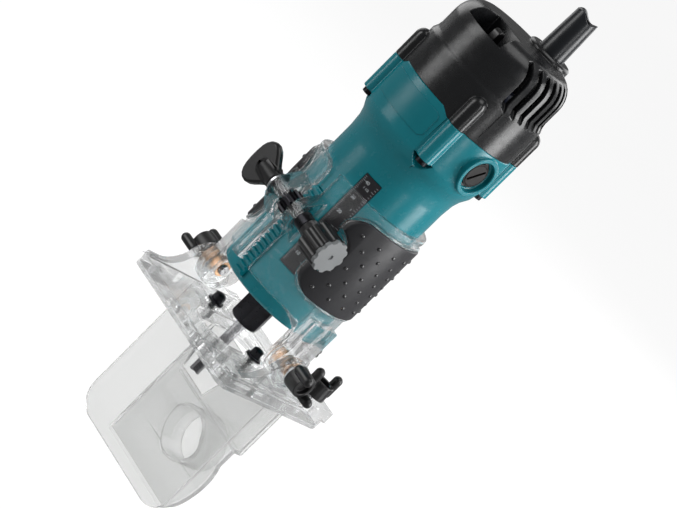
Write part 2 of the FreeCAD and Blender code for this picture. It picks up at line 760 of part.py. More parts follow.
def panel_ring(name, radius):
    """Piece of the housing rim that stands above the seam in front, with slanting ends."""
    ring = tube(f"{name}_ring", radius, 35.2, 4, (0, 0, seam_height - 1))
    high = seam_height + 3
    front = padded(f"{name}_front", "XZ_Plane", [(-23.2, high - 4), (23.2, high - 4), (17.4, high),
                                                 (-17.4, high)], 40, 5)
    return common(name, [ring, front])


def make_motor_housing():
    foot = barrel_foot
    shell = turned("housing_shell", [
        (9, 0), (barrel_radius - 1.2, 0), (barrel_radius, 1.2), (barrel_radius, 92),
        (33.2, 99.5), (34.4, 103.5), (36.8, 108), (housing_radius, 113),
        (housing_radius, seam_height - foot), (35.2, seam_height - foot), (35.2, 115.5),
        (barrel_inside, 102.5), (barrel_inside, 4.5), (17, 4.5), (17, 14), (14, 14), (14, 5.5),
        (9, 5.5)], foot)
    panel_step = panel_ring("panel_step", housing_radius)
    bosses, tools = [], []
    for index, (across, along) in enumerate(CORNERS):
        at = (boss_circle * (across * DIAGONAL), boss_circle * (along * DIAGONAL), boss_foot)
        bosses.append(cylinder(f"housing_boss{index}", boss_radius, seam_height - boss_foot, at))
        tools.append(cone(f"screw_way{index}", 1.4, 6.4, 7.5, (at[0], at[1], boss_foot - 7.5)))
        tools.append(cylinder(f"screw_hole{index}", screw_radius, 40, at))
    for side in (-1, 1):
        start = 32.5 if side > 0 else -39.4
        bosses.append(cylinder(f"brush_ring{side + 1}", 12, 6.9, (start, 0, brush_height), "x"))
        start = 25 if side > 0 else -45
        tools.append(cylinder(f"brush_way{side + 1}", 8.6, 20, (start, 0, brush_height), "x"))
        start = 36.2 if side > 0 else -46.2
        tools.append(cylinder(f"brush_sink{side + 1}", 9.6, 10, (start, 0, brush_height), "x"))
    for index in range(8):
        angle = math.radians(22.5 + 45 * index)
        at = (23.5 * math.cos(angle), 23.5 * math.sin(angle), foot - 1)
        tools.append(cylinder(f"air_hole{index}", 2.6, 8, at))
    tools.append(box("rack_seat", (-rack_half_width - 0.1, -34, 39.2), (rack_half_width + 0.1, -31.84, 99.5)))
    tools.append(ring_sector("scale_seat", 34, 31.8, 60, 123, SCALE_MIDDLE, SCALE_SPREAD))
    core = cylinder("housing_core", 35.2, 60, (0, 0, boss_foot + 2.5))
    whole = fuse("housing_solid", [shell, panel_step] + bosses)
    node("motor_housing", cut("motor_housing", whole, tools + [core]))


SCALE_MIDDLE, SCALE_SPREAD = 29.5, 19


def make_depth_scale():
    node("depth_scale", ring_sector("depth_scale", barrel_radius - 0.05, 31.8, 60.2, 122.8,
                                    SCALE_MIDDLE, SCALE_SPREAD - 0.6))


def make_nameplate():
    """Blank curved label panel on the front of the housing."""
    skin = tube("label_skin", housing_radius + 0.4, housing_radius, 16, (0, 0, 155))
    field = padded("label_field", "XZ_Plane", [(-20, 155.3), (20, 155.3), (20, 170.7), (-20, 170.7)],
                   20, 25)
    field = round_edges("label_corners", field, 3, lambda edge: edge.BoundBox.YLength > 10)
    node("nameplate", common("nameplate", [skin, field]))


# ---------------------------------------------------------------- top cover

def make_top_cover():
    rise = cover_top - seam_height
    shoulder = rise - 13
    outside = [(0, 0), (housing_radius, 0), (housing_radius, 21.5), (36.4, 25), (36.4, shoulder)]
    inside = [(0, -1), (35.3, -1), (35.3, 19.5), (34.4, 24.5), (34.4, shoulder)]
    steps = 7
    for step in range(1, steps + 1):
        angle = math.radians(90 * step / steps)
        outside.append((25.4 + 11 * math.cos(angle), shoulder + 13 * math.sin(angle)))
        inside.append((25.4 + 9 * math.cos(angle), shoulder + 10.4 * math.sin(angle)))
    outside.append((0, rise))
    inside.append((0, rise - 2.6))
    shell = turned("cover_outside", outside, seam_height)
    hollow = turned("cover_inside", inside, seam_height)
    # Solid floor and walls left around the switch pocket.
    keep = padded("pocket_wall", "XY_Plane", [(-16.5, -35.6), (20, -35.6), (12, -10.5), (-16.5, -10.5)],
                  20, 201.5)
    pocket_plan = padded("pocket_plan", "XY_Plane", [(-14, -40), (18, -40), (9, -13), (-12.5, -13)],
                         30, 204)
    pocket = common("pocket_tool", [pocket_plan, cylinder("pocket_round", 35.1, 40, (0, 0, 200))])
    lever_slot = box("lever_slot", (-11, -26, 195), (4.8, -18, 206))
    tools = [cut("cover_hollow", hollow, [keep]), pocket, lever_slot]
    # Seven upright slots on each side, over the shoulder and down to a sloping sill.
    for side in (-1, 1):
        for index in range(7):
            along = (index - 3) * 6
            start = math.sqrt(30.3 ** 2 - along ** 2)
            wall = math.sqrt(housing_radius.value ** 2 - along ** 2)
            outline = [(start, 197), (wall - 3.8, 197), (wall + 0.4, 192.4), (wall + 5, 192.4),
                       (wall + 5, 222), (start, 222)]
            if side < 0:
                outline = [(-across, height) for across, height in outline]
            tools.append(padded(f"vent{side + 1}{index}", "XZ_Plane", outline, 3, -along, True))
    bosses = []
    for index, (across, along) in enumerate(CORNERS):
        at = (boss_circle * (across * DIAGONAL), boss_circle * (along * DIAGONAL), seam_height)
        bosses.append(cylinder(f"cover_boss{index}", boss_radius, 14.7, at))
        bosses.append(ball(f"cover_dome{index}", boss_radius, (at[0], at[1], seam_height + 14.7)))
        tools.append(cylinder(f"cover_thread{index}", screw_radius, 13, (at[0], at[1], seam_height - 1)))
    cord_boss = common("cord_boss", [
        fuse("cord_boss_bar", [cylinder("cord_boss_low", 13.2, 26.4, (0, cord_offset, 196)),
                               cone("cord_boss_top", 13.2, 12, 1.2, (0, cord_offset, 222.4))]),
        cylinder("cord_boss_limit", 36.3, 40, (0, 0, 190))])
    tools.append(cylinder("cord_way", 8.2, 40, (0, cord_offset, 190)))
    tools.append(cylinder("cord_seat", 9.6, 24.1, (0, cord_offset, 192)))
    tools.append(cylinder("cord_room", 11, 16, (0, cord_offset, 192)))
    tools.append(panel_ring("panel_gap", 39))
    whole = fuse("cover_solid", [cut("cover_cup", shell, [tools.pop(0)])] + bosses
                 + [cord_boss])
    node("top_cover", cut("top_cover", whole, tools))


def make_cover_screws():
    screws = []
    for index, (across, along) in enumerate(CORNERS):
        at = (boss_circle * (across * DIAGONAL), boss_circle * (along * DIAGONAL), boss_foot)
        head = cylinder(f"cover_head{index}", 3.3, 2.6, (at[0], at[1], boss_foot - 2.6))
        drive = box(f"cover_drive{index}", (at[0] - 2, at[1] - 0.5, boss_foot - 3),
                    (at[0] + 2, at[1] + 0.5, boss_foot - 1.6))
        shank = cylinder(f"cover_shank{index}", screw_radius - 0.05, 34, at)
        screws.append(cut(f"cover_screw{index}", fuse(f"cover_rod{index}", [head, shank]), [drive]))
    node("cover_screws", group("cover_screws", screws))


def make_cord_sleeve():
    sleeve = turned("cord_sleeve", [(3.6, 0), (9.4, 0), (9.4, 3), (8.1, 3), (8.1, 13), (7.2, 37.5),
                                    (6.6, 38), (3.6, 38)])
    place(sleeve, (0, cord_offset, 213))
    node("cord_sleeve", sleeve)


def make_cord_clamp():
    strap = box("clamp_strap", (-9.5, cord_offset - 3, 200), (9.5, cord_offset + 3, 204))
    groove = cylinder("clamp_groove", 3.6, 20, (0, cord_offset - 10, 206), "y")
    holes = [cylinder(f"strap_hole{side + 1}", 1.6, 8, (side * 6.8, cord_offset, 198)) for side in (-1, 1)]
    node("cord_clamp", cut("cord_clamp", strap, [groove] + holes))
    screws = []
    for side in (-1, 1):
        shank = cylinder(f"strap_shank{side + 1}", 1.5, 6.5, (side * 6.8, cord_offset, 199.5))
        head = cylinder(f"strap_head{side + 1}", 2.5, 1.5, (side * 6.8, cord_offset, 198.4))
        screws.append(fuse(f"strap_screw{side + 1}", [shank, head]))
    node("cord_clamp_screws", group("cord_clamp_screws", screws))


# ---------------------------------------------------------------- switch

def make_switch():
    case = box("switch_case", (-15, -30, 187), (8, -14, 201.4))
    way = box("switch_way", (-10.5, -25.5, 194), (4.3, -18.5, 203))
    node("switch_body", cut("switch_body", case, [way]))
    stem = box("lever_stem", (-1, -24.6, 195), (3.8, -19.4, 214.5))
    crown = cylinder("lever_crown", 2.6, 4.8, (-1, -22, 216), "x")
    neck = box("lever_neck", (-1, -24.6, 214), (3.8, -19.4, 216))
    node("switch_lever", fuse("switch_lever", [stem, neck, crown]))


# ---------------------------------------------------------------- motor inside

def make_brushes():
    holders, brushes, caps, springs = [], [], [], []
    for side in (-1, 1):
        def run(start, length):
            """Start of a bar that lies from start outwards on this side."""
            return start if side > 0 else -start - length
        name = "left" if side < 0 else "right"
        case = cylinder(f"holder_{name}", 8.5, 22.6, (run(13, 22.6), 0, brush_height), "x")
        guide = box(f"guide_{name}", (run(12, 17), -3.1, brush_height - 4.1),
                    (run(12, 17) + 17, 3.1, brush_height + 4.1))
        thread = cylinder(f"thread_{name}", 6.6, 9, (run(28, 9), 0, brush_height), "x")
        holders.append(cut(f"brush_holder_{name}", case, [guide, thread]))
        brushes.append(box(f"carbon_{name}", (run(11.05, 11.4), -3, brush_height - 4),
                           (run(11.05, 11.4) + 11.4, 3, brush_height + 4)))
        springs.append(tube(f"spring_{name}", 2.6, 1.9, 7.4, (run(22.6, 7.4), 0, brush_height), "x"))
        barrel = cylinder(f"cap_{name}", 6.5, 7.4, (run(30.1, 7.4), 0, brush_height), "x")
        slot_start = run(36.2, 2)
        slot = box(f"cap_slot_{name}", (slot_start, -0.7, -5.4), (slot_start + 2, 0.7, 5.4))
        tilted = group(f"cap_slot_tilted_{name}", [slot])
        tilted.Placement = Placement(Vector(0, 0, brush_height.value), Rotation(Vector(1, 0, 0), -45))
        rim = cylinder(f"cap_rim_{name}", 7.4, 1.5, (run(35.8, 1.5), 0, brush_height), "x")
        caps.append(cut(f"brush_cap_{name}", fuse(f"cap_body_{name}", [barrel, rim]), [tilted]))
    node("brush_holders", group("brush_holders", holders))
    node("carbon_brushes", group("carbon_brushes", brushes))
    node("brush_springs", group("brush_springs", springs))
    node("brush_caps", group("brush_caps", caps))


def make_field():
    """Stator: laminated ring with two poles, and a coil round each pole."""
    core_low, core_high = 72, 118
    ring = tube("field_ring", barrel_inside - 0.02, 24, core_high - core_low, (0, 0, core_low))
    poles, coils = [ring], []
    annulus_low, annulus_high = 66, 124
    for side in (-1, 1):
        name = "left" if side < 0 else "right"
        low, high = (18, 27) if side > 0 else (-27, -18)
        pole_block = box(f"pole_block_{name}", (low, -13, core_low), (high, 13, core_high))
        hollow = cylinder(f"pole_bore_{name}", 18.3, 60, (0, 0, 65))
        poles.append(cut(f"pole_{name}", pole_block, [hollow]))
        band = tube(f"coil_band_{name}", 23.8, 18.6, annulus_high - annulus_low, (0, 0, annulus_low))
        half = box(f"coil_half_{name}", (min(0, side * 30), -18, annulus_low),
                   (max(0, side * 30), 18, annulus_high))
        eye = box(f"coil_eye_{name}", (min(0, side * 30), -13.3, core_low - 0.3),
                  (max(0, side * 30), 13.3, core_high + 0.3))
        coils.append(cut(f"coil_{name}", common(f"coil_blank_{name}", [band, half]), [eye]))
    node("field_core", fuse("field_core", poles))
    node("field_coils", group("field_coils", coils))


def make_bearings():
    node("lower_bearing", tube("lower_bearing", 14, spindle_radius + 0.03, 8, (0, 0, 42)))
    node("upper_bearing", tube("upper_bearing", 11, 4.03, 7, (0, 0, 177)))
    node("bearing_sleeve", tube("bearing_sleeve", 12.5, 11, 8, (0, 0, 176.5)))
    hub = cylinder("bridge_hub", 15, 12, (0, 0, 173.3))
    web = cylinder("bridge_web", 35, 2.5, (0, 0, 173.3))
    holes = [cylinder("bridge_seat", 12.5, 12, (0, 0, 176.5)), cylinder("bridge_eye", 6, 20, (0, 0, 170))]
    for index in range(6):
        angle = math.radians(60 * index)
        holes.append(cylinder(f"bridge_window{index}", 6, 6,
                              (24 * math.cos(angle), 24 * math.sin(angle), 172)))
    for index, (across, along) in enumerate(CORNERS):
        at = (boss_circle * (across * DIAGONAL), boss_circle * (along * DIAGONAL), 172)
        holes.append(cylinder(f"bridge_notch{index}", boss_radius + 0.4, 6, at))
    node("bearing_bridge", cut("bearing_bridge", fuse("bridge_solid", [hub, web]), holes))
    node("air_baffle", tube("air_baffle", barrel_inside - 0.02, 21, 2, (0, 0, 62.6)))


def make_capacitor():
    node("suppressor_capacitor", box("suppressor_capacitor", (14, -20, 189), (25, -2, 200)))


# ---------------------------------------------------------------- spindle

def make_spindle():
    node("armature_shaft", turned("armature_shaft", [
        (0, 15), (3.2, 15), (5.7, 1), (7, 1), (7, 18.5), (spindle_radius, 18.5), (spindle_radius, 29),
        (5, 29), (5, 151), (4, 151), (4, 162), (0, 162)], 23))
    body = new_body("armature_stack")
    disc = new_sketch(body, "stack_disc", "XY_Plane", 72)
    draw_circle(disc, armature_radius)
    draw_circle(disc, 5)
    stack = body.newObject("PartDesign::Pad", "stack_pad")
    stack.Profile = disc
    bind(stack, {"Length": 46})
    doc.recompute()
    slot = new_sketch(body, "stack_slot", "XY_Plane", 72)
    draw_outline(slot, [(14, -0.6), (20, -0.6), (20, 0.6), (14, 0.6)])
    groove = body.newObject("PartDesign::Pocket", "stack_groove")
    groove.Profile = slot
    groove.Type = "ThroughAll"
    groove.Midplane = True
    doc.recompute()
    polar(body, groove, slot, 12, "stack_grooves")
    node("armature_core", body)
    lower = turned("winding_low", [(5, 0), (11, 0), (15.5, 3), (15.5, 8), (5, 8)], 64)
    upper = turned("winding_high", [(5, 0), (15.5, 0), (15.5, 5), (11, 8), (5, 8)], 118)
    node("armature_windings", group("armature_windings", [lower, upper]))
    node("commutator", tube("commutator", 11, 5, 16, (0, 0, 151)))
    make_fan()
    make_collet()
    make_bit()


def make_fan():
    body = new_body("cooling_fan")
    disc = new_sketch(body, "fan_disc", "XY_Plane", 59.4)
    draw_circle(disc, 27)
    draw_circle(disc, 5)
    plate = body.newObject("PartDesign::Pad", "fan_plate")
    plate.Profile = disc
    bind(plate, {"Length": 1.4})
    doc.recompute()
    blade = new_sketch(body, "fan_blade", "XY_Plane", 52.6)
    draw_outline(blade, [(11, -0.6), (26.5, 3.4), (26.5, 4.8), (11, 0.8)])
    vane = body.newObject("PartDesign::Pad", "fan_vane")
    vane.Profile = blade
    bind(vane, {"Length": 7})
    doc.recompute()
    polar(body, vane, blade, 12, "fan_vanes")
    hub = tube("fan_hub", 12, 5, 7.6, (0, 0, 52.4))
    node("cooling_fan", fuse("fan_whole", [body, hub]))


def make_collet():
    cone_body = turned("collet_cone", [(bit_radius, 0), (5.9, 0), (5.9, 3.6), (5.5, 4.8), (3.5, 16),
                                       (bit_radius, 16)], 19.2)
    slits = [box("slit_x", (-7, -0.25, 25), (7, 0.25, 40)), box("slit_y", (-0.25, -7, 25), (0.25, 7, 40))]
    node("collet", cut("collet", cone_body, slits))
    body = new_body("nut_blank")
    sketch = new_sketch(body, "nut_hexagon", "XY_Plane")
    corner = 9.4
    draw_outline(sketch, [(corner * math.cos(math.radians(60 * index)),
                           corner * math.sin(math.radians(60 * index))) for index in range(6)])
    blank = body.newObject("PartDesign::Pad", "nut_pad")
    blank.Profile = sketch
    bind(blank, {"Length": nut_top - nut_foot})
    place(body, (0, 0, nut_foot))
    limit = turned("nut_limit", [(0, 0), (8, 0), (9.5, 2), (9.5, 16.6), (8.2, 18), (0, 18)], nut_foot)
    inside = turned("nut_inside", [(0, -1), (4, -1), (4, 3), (6, 3), (6, 7), (7.05, 7), (7.05, 20), (0, 20)],
                    nut_foot)
    node("collet_nut", cut("collet_nut", common("nut_outside", [body, limit]), [inside]))


def make_bit():
    length = -bit_tip + 34
    rod = cylinder("bit_rod", bit_radius, length, (0, 0, bit_tip))
    flutes = [box("flute_front", (0.4, -4, bit_tip - 1), (4, -0.4, -2)),
              box("flute_back", (-4, 0.4, bit_tip - 1), (-0.4, 4, -2))]
    node("router_bit", cut("router_bit", rod, flutes))


# ---------------------------------------------------------------- build and write

def build():
    make_base_plate()
    make_sole_plate()
    make_sole_screws()
    make_nozzle_screws()
    make_dust_nozzle()
    make_rear_thumb_screw()
    make_wing_bolts()
    make_tilt_washers()
    make_base_body()
    make_pivot_inserts()
    make_grip("grip_right", 1)
    make_grip("grip_left", -1)
    make_pinion_shaft()
    make_gear_rack()
    make_depth_knob()
    make_clamp_wing_nut()
    make_clamp_washer()
    make_motor_housing()
    make_depth_scale()
    make_nameplate()
    make_top_cover()
    make_cover_screws()
    make_cord_sleeve()
    make_cord_clamp()
    make_switch()
    make_brushes()
    make_field()
    make_bearings()
    make_capacitor()
    make_spindle()


build()
doc.recompute()

faults = []
for thing in doc.Objects:
    if "Invalid" in thing.State or "Error" in thing.State:
        faults.append(f"{thing.Label}: {thing.State}")
for name, thing in nodes.items():
    if thing.Shape.isNull() or not thing.Shape.isValid() or not thing.Shape.Solids:
        faults.append(f"{name}: bad shape")
if faults:
    raise RuntimeError("; ".join(faults))

os.makedirs("parts", exist_ok=True)
for name, thing in nodes.items():
    thing.Shape.exportStep(f"parts/{name}.step")
    print(name, len(thing.Shape.Solids), round(thing.Shape.Volume))
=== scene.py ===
import json
import math
import bmesh
import bpy
from mathutils import Matrix, Vector

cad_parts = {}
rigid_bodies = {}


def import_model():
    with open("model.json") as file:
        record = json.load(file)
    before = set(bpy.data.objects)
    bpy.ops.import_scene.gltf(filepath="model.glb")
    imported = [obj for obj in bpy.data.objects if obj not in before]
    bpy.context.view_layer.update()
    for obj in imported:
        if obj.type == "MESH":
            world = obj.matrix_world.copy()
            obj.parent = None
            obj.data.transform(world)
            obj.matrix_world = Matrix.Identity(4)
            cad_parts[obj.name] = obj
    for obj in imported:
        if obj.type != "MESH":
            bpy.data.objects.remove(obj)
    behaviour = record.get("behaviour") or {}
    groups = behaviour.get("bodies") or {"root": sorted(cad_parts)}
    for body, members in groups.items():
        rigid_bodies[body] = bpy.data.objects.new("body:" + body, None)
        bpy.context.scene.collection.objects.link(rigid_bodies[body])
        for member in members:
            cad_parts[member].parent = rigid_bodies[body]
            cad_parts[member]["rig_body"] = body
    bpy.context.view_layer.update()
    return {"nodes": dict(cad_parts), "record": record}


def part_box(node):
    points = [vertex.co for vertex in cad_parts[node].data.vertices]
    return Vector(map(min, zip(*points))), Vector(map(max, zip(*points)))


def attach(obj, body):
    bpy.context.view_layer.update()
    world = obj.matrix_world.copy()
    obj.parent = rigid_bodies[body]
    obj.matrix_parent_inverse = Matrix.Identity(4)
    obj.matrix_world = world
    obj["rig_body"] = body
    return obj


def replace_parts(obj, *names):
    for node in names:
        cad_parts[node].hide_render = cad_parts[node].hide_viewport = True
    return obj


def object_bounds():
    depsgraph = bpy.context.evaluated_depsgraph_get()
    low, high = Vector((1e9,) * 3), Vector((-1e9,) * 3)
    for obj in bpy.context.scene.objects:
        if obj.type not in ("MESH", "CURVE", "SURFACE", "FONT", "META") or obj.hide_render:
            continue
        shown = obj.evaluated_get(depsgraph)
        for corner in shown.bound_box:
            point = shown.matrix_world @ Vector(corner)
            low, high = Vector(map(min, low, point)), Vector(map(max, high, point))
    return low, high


# Looks for the trim router. Metres, in the frame of the CAD model: Z is the spindle axis,
# X runs along the tilt axle, and the clamp, the scale and the switch face -Y.

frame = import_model()
MM = 0.001


# ---------------------------------------------------------------- camera

AZIMUTH = math.radians(36.0)
ELEVATION = math.radians(12.63)
ROLL = math.radians(45.26)
DISTANCE, FAR_CLIP = 1.6, 50
LENS_MM = 167.18
SENSOR_MM = 36.0
# The point looked at: this far to the right of the spindle axis, and above the sole.
AIM_RIGHT, AIM_HEIGHT = 9.71, 76.45


def view_axes():
    """Unit vectors of the view: into the scene, to its right and up, before the roll."""
    into = Vector((-math.sin(AZIMUTH) * math.cos(ELEVATION),
                   math.cos(AZIMUTH) * math.cos(ELEVATION),
                   -math.sin(ELEVATION)))
    right = Vector((math.cos(AZIMUTH), math.sin(AZIMUTH), 0))
    return into, right, right.cross(into)


def add_camera():
    into, right, up = view_axes()
    target = right * AIM_RIGHT * MM + Vector((0, 0, AIM_HEIGHT * MM))
    local_x = right * math.cos(ROLL) + up * math.sin(ROLL)
    local_y = up * math.cos(ROLL) - right * math.sin(ROLL)
    turn = Matrix((local_x, local_y, -into)).transposed()
    data = bpy.data.cameras.new("camera")
    data.sensor_width = SENSOR_MM
    data.lens = LENS_MM
    data.clip_end = FAR_CLIP
    camera = bpy.data.objects.new("camera", data)
    camera.matrix_world = Matrix.Translation(target - into * DISTANCE) @ turn.to_4x4()
    bpy.context.scene.collection.objects.link(camera)
    bpy.context.scene.camera = camera


# ---------------------------------------------------------------- materials

# Noise values lie mostly between these two.
NOISE_LOW, NOISE_HIGH = 0.3, 0.7


class Recipe:
    """A node material built round one Principled shader."""

    def __init__(self, name):
        self.material = bpy.data.materials.new(name)
        self.material.use_nodes = True
        self.tree = self.material.node_tree
        self.shader = self.tree.nodes["Principled BSDF"]
        self.place = self.tree.nodes.new("ShaderNodeTexCoord").outputs["Object"]

    def set(self, **values):
        for name, value in values.items():
            self.shader.inputs[name.replace("_", " ")].default_value = value
        return self

    def noise(self, scale, detail=4, stretch=(1, 1, 1)):
        """Noise that stays with the object; scale is in cells per metre."""
        source = self.place
        if stretch != (1, 1, 1):
            mapping = self.tree.nodes.new("ShaderNodeMapping")
            mapping.inputs["Scale"].default_value = stretch
            self.tree.links.new(source, mapping.inputs["Vector"])
            source = mapping.outputs["Vector"]
        node = self.tree.nodes.new("ShaderNodeTexNoise")
        node.inputs["Scale"].default_value = scale
        node.inputs["Detail"].default_value = detail
        self.tree.links.new(source, node.inputs["Vector"])
        return node.outputs["Fac"]

    def spread(self, source, low, high):
        """Noise value turned into a number between low and high."""
        node = self.tree.nodes.new("ShaderNodeMapRange")
        node.inputs["From Min"].default_value = NOISE_LOW
        node.inputs["From Max"].default_value = NOISE_HIGH
        node.inputs["To Min"].default_value = low
        node.inputs["To Max"].default_value = high
        self.tree.links.new(source, node.inputs["Value"])
        return node.outputs["Result"]

    def colour(self, source, dark, light):
        node = self.tree.nodes.new("ShaderNodeMix")
        node.data_type = "RGBA"
        node.inputs["A"].default_value = (*dark, 1)
        node.inputs["B"].default_value = (*light, 1)
        self.tree.links.new(self.spread(source, 0, 1), node.inputs["Factor"])
        self.tree.links.new(node.outputs["Result"], self.shader.inputs["Base Color"])
        return self

    def roughness(self, source, low, high):
        self.tree.links.new(self.spread(source, low, high), self.shader.inputs["Roughness"])
        return self

    def bump(self, source, depth, strength=1.0):
        """Relief from a noise value; depth is in metres."""
        node = self.tree.nodes.new("ShaderNodeBump")
        node.inputs["Distance"].default_value = depth
        node.inputs["Strength"].default_value = strength
        self.tree.links.new(source, node.inputs["Height"])
        self.tree.links.new(node.outputs["Normal"], self.shader.inputs["Normal"])
        return self


def shade(colour, factor):
    return tuple(min(1.0, part * factor) for part in colour)


def moulded(name, colour, rough, grain=2600, depth=0.012 * MM, sheen=0.5, vary=0.08):
    """Moulded plastic or rubber: faint colour drift and a fine spark-eroded grain."""
    recipe = Recipe(name)
    recipe.colour(recipe.noise(45), shade(colour, 1 - vary), shade(colour, 1 + vary))
    recipe.roughness(recipe.noise(220), rough - 0.04, rough + 0.04)
    recipe.bump(recipe.noise(grain, 2), depth)
    recipe.set(Specular_IOR_Level=sheen)
    return recipe


def clear(name, tint, rough, ior, haze, solid):
    """Clear moulded plastic with faint flow marks.

    Haze is the share that scatters light, and solid the share that bends it: the rest of the
    light goes straight through, as it does where a thin wall has parallel faces.
    """
    recipe = Recipe(name)
    recipe.colour(recipe.noise(30), shade(tint, 0.985), tint)
    recipe.roughness(recipe.noise(90), rough, rough + 0.03)
    recipe.bump(recipe.noise(40, 1), 0.02 * MM, 0.15)
    recipe.set(Transmission_Weight=1.0 - haze, IOR=ior, Alpha=solid)
    return recipe


def metal(name, colour, rough, stretch=(1, 1, 1), grain=900):
    """Machined or rolled metal, its marks drawn out along one direction."""
    recipe = Recipe(name)
    lines = recipe.noise(grain, 3, stretch)
    recipe.colour(lines, shade(colour, 0.86), shade(colour, 1.08))
    recipe.roughness(lines, rough - 0.06, rough + 0.08)
    recipe.bump(lines, 0.006 * MM)
    recipe.set(Metallic=1.0)
    return recipe


# The wave texture has one band on this much of its scaled length.
WAVE_BAND = 2 * math.pi / 20
THREAD_PITCH, THREAD_DEPTH = 0.8 * MM, 0.35 * MM


def threaded(name, colour, rough, axis, pitch):
    """Metal with a thread cut along one axis, as rings of relief."""
    recipe = metal(name, colour, rough)
    wave = recipe.tree.nodes.new("ShaderNodeTexWave")
    wave.bands_direction = axis
    wave.wave_profile = "TRI"
    wave.inputs["Scale"].default_value = WAVE_BAND / pitch
    recipe.tree.links.new(recipe.place, wave.inputs["Vector"])
    recipe.bump(wave.outputs["Fac"], THREAD_DEPTH)
    return recipe


def make_materials():
    teal = (0.003, 0.205, 0.25)
    zinc = (0.50, 0.50, 0.51)
    around = (1, 1, 14)
    return {
        "teal": moulded("teal_plastic", teal, 0.25, 1400, 0.006 * MM, 0.5, 0.04),
        "label": moulded("label_film", shade(teal, 0.92), 0.32, 900, 0.003 * MM, 0.4, 0.03),
        "cover": moulded("cover_plastic", (0.0075, 0.008, 0.009), 0.27, 2400, 0.014 * MM),
        "knob": moulded("knob_plastic", (0.006, 0.006, 0.0065), 0.32, 2200, 0.015 * MM),
        "rubber": moulded("grip_rubber", (0.022, 0.022, 0.025), 0.42, 1800, 0.022 * MM, 0.4, 0.12),
        "nub": moulded("nub_rubber", (0.020, 0.020, 0.022), 0.16, 900, 0.004 * MM, 0.8),
        "sleeve": moulded("sleeve_rubber", (0.010, 0.012, 0.015), 0.3, 1500, 0.012 * MM, 0.5, 0.1),
        "grey": moulded("grey_plastic", (0.19, 0.20, 0.205), 0.42, 1200, 0.05 * MM),
        "brown": moulded("cap_thermoset", (0.009, 0.008, 0.008), 0.42, 1500, 0.02 * MM, 0.25),
        "white": moulded("insulation_plastic", (0.62, 0.61, 0.57), 0.45),
        "fan": moulded("fan_nylon", (0.03, 0.03, 0.032), 0.5),
        "film": moulded("capacitor_film", (0.008, 0.012, 0.03), 0.35),
        "carbon": moulded("carbon_block", (0.012, 0.012, 0.012), 0.55),
        "strip": moulded("scale_strip", (0.016, 0.015, 0.018), 0.34, 1500, 0.008 * MM),
        "paint": moulded("scale_paint", (0.55, 0.58, 0.60), 0.55, 3000, 0.004 * MM),
        "mark": moulded("angle_paint", (0.04, 0.045, 0.05), 0.5, 3000, 0.004 * MM),
        "clear": clear("clear_plastic", (0.88, 0.89, 0.89), 0.01, 1.44, 0.0, 0.65),
        "sheet": clear("nozzle_plastic", (0.80, 0.805, 0.80), 0.03, 1.33, 0.14, 0.9),
        "steel": metal("plain_steel", (0.62, 0.62, 0.63), 0.26, around),
        "tool": metal("ground_steel", (0.36, 0.36, 0.37), 0.24, around),
        "thread": threaded("threaded_steel", zinc, 0.28, "X", THREAD_PITCH),
        "thread_up": threaded("threaded_upright_steel", zinc, 0.28, "Z", THREAD_PITCH),
        "black_steel": metal("blackened_steel", (0.022, 0.022, 0.025), 0.32),
        "brass": metal("turned_brass", (0.80, 0.50, 0.30), 0.30),
        "copper": metal("enamelled_copper", (0.62, 0.24, 0.10), 0.34, (1, 1, 8)),
        "iron": metal("lamination_iron", (0.22, 0.22, 0.23), 0.42, (1, 1, 40)),
    }


MATERIAL_OF_SLOT = {
    "clear_plastic": "clear", "smoke_plastic": "sheet", "teal_housing": "teal",
    "black_cap": "cover", "black_knob": "knob", "black_steel": "black_steel",
    "dark_rubber": "rubber", "grey_cap": "grey", "steel": "steel", "tool_steel": "tool",
    "brass": "brass", "label": "label", "scale_strip": "strip", "brown_cap": "brown",
    "carbon": "carbon", "lamination": "iron", "copper": "copper",
    "commutator_copper": "copper", "fan_plastic": "fan", "white_plastic": "white",
    "blue_film": "film",
}

# Nodes that look different from the rest of their slot: the holders' moulded ends show.
MATERIAL_OF_NODE = {"brush_holders": "knob"}


# ---------------------------------------------------------------- mesh helpers

def body_of(node):
    return frame["nodes"][node]["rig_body"]


def slot_of(node):
    for entry in frame["record"]["subparts"]:
        if entry["node"] == node:
            return entry["material_slot"]
    raise KeyError(node)


def add_piece(name, mesh, material, body):
    piece = bpy.data.objects.new(name, mesh)
    bpy.context.scene.collection.objects.link(piece)
    mesh.materials.clear()
    mesh.materials.append(material.material)
    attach(piece, body)
    return piece


def smooth_by_angle(mesh, degrees):
    """Smooth shading, kept sharp where two faces meet at more than the angle."""
    mesh.polygons.foreach_set("use_smooth", [True] * len(mesh.polygons))
    work = bmesh.new()
    work.from_mesh(mesh)
    limit = math.radians(degrees)
    for edge in work.edges:
        edge.smooth = len(edge.link_faces) == 2 and edge.calc_face_angle(0) < limit
    work.to_mesh(mesh)
    work.free()


# Points closer than this are one, faces that meet flatter than this are one face, and edges
# sharper than this are rounded.
MERGE_GAP, FLAT_DEG, SHARP_DEG = 0.002 * MM, 0.4, 32


